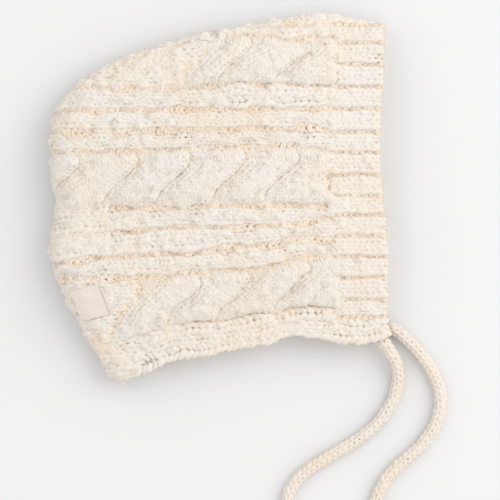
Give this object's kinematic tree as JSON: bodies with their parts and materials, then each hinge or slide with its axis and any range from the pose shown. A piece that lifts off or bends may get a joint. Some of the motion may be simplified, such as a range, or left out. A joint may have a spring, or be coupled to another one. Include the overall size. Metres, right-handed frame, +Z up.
{
  "type": "baby bonnet",
  "caption": "Cable knit baby bonnet lying flat on its side, with a ribbed brim, a knitted neck band, two tie cords and a small bare tab.",
  "frame": {"origin": "on the surface that the bonnet lies on, under the middle of its outline without the ties", "axes": "+Z up from that surface, +Y from the neck edge to the crown fold, +X from the back fold to the face edge"},
  "size_m": [0.2121, 0.2867, 0.0279],
  "materials": {
    "cream_knit": "soft knitted yarn, matt, slightly hairy",
    "cream_cord": "knitted cord of the same yarn, matt",
    "label_cloth": "smooth woven tape, bare"
  },
  "bodies": {
    "root": {"cable_body": "cream_knit", "rib_brim": "cream_knit", "neck_band": "cream_knit", "tie_upper": "cream_cord", "tie_lower": "cream_cord", "label_tab": "label_cloth"}
  },
  "joints": []
}
